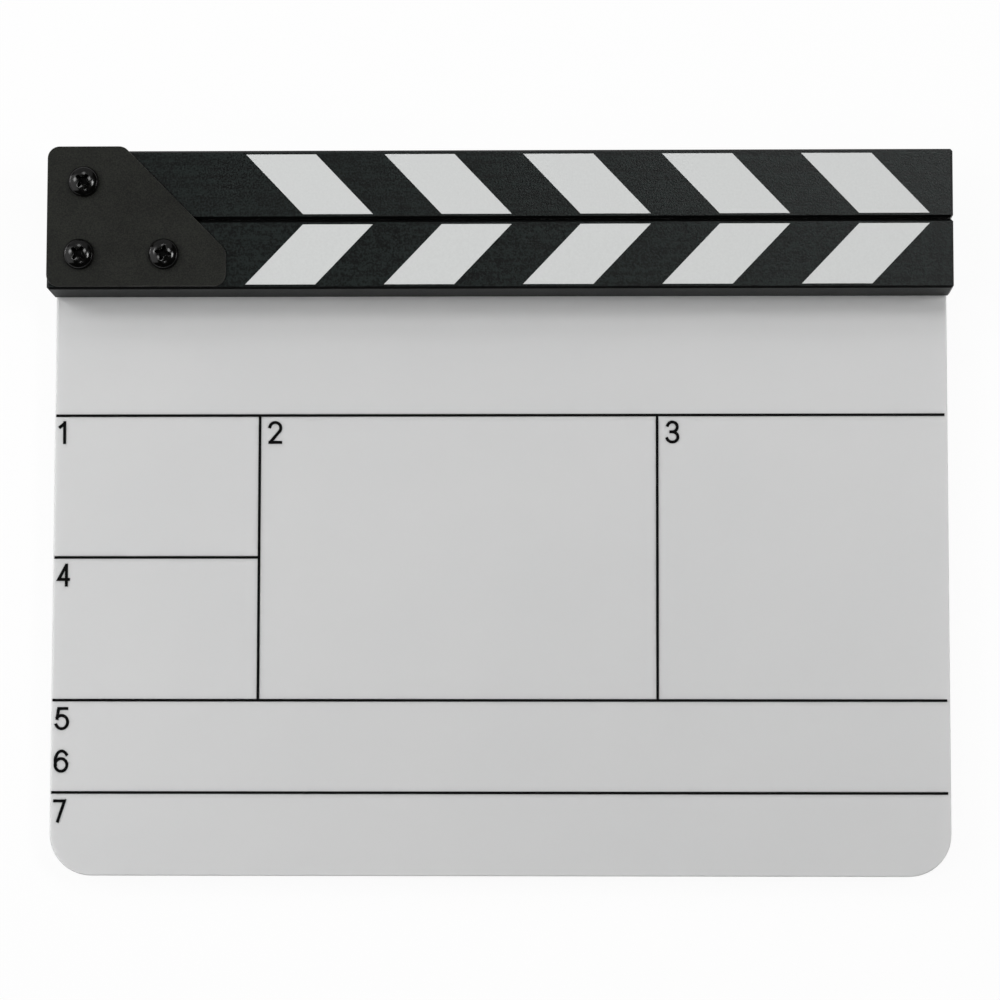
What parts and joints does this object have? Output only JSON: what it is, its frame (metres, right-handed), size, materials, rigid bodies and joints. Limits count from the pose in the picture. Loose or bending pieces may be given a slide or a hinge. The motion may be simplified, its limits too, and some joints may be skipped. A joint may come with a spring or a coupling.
{
  "type": "clapperboard",
  "caption": "Film clapperboard: an opal writing panel with ruled boxes under a fixed and a hinged black wooden clapstick with white slanted stripes, joined by a steel plate hinge.",
  "frame": {"origin": "under the middle of the outline, level with the tips of the hinge screws, with the board lying on its back", "axes": "+X along the sticks from the hinge end to the free end, +Y from the writing panel up to the clapsticks, +Z out of the writing face"},
  "size_m": [0.3, 0.241, 0.0337],
  "materials": {
    "opal_acrylic": "smooth opal white acrylic sheet with polished edges",
    "black_print": "thin printed lines",
    "black_wood": "satin black lacquer over fine-grained wood",
    "white_print": "thin printed stripes",
    "black_plate": "smooth black coating on sheet steel",
    "black_screw": "glossy black zinc plating",
    "bright_steel": "turned steel tube",
    "nylon": "natural nylon"
  },
  "bodies": {
    "slate": {"writing_panel": "opal_acrylic", "form_rules": "black_print", "lower_stick": "black_wood", "lower_stripes": "white_print", "front_hinge_plate": "black_plate", "back_hinge_plate": "black_plate", "pivot_screw": "black_screw", "pivot_sleeve": "bright_steel", "pivot_washer": "black_screw", "pivot_locknut": "black_screw", "locknut_insert": "nylon", "plate_screws": "black_screw", "plate_washers": "black_screw", "plate_nuts": "black_screw", "panel_screws": "black_screw", "panel_washers": "black_screw"},
    "clapstick": {"upper_stick": "black_wood", "upper_stripes": "white_print", "front_friction_washer": "nylon", "back_friction_washer": "nylon"}
  },
  "joints": [
    {"name": "clap_hinge", "type": "hinge", "parent": "slate", "child": "clapstick", "pos_m": [-0.1378, 0.1084, 0.0183], "axis": [0, 0, 1], "range_deg": [0, 90]}
  ]
}
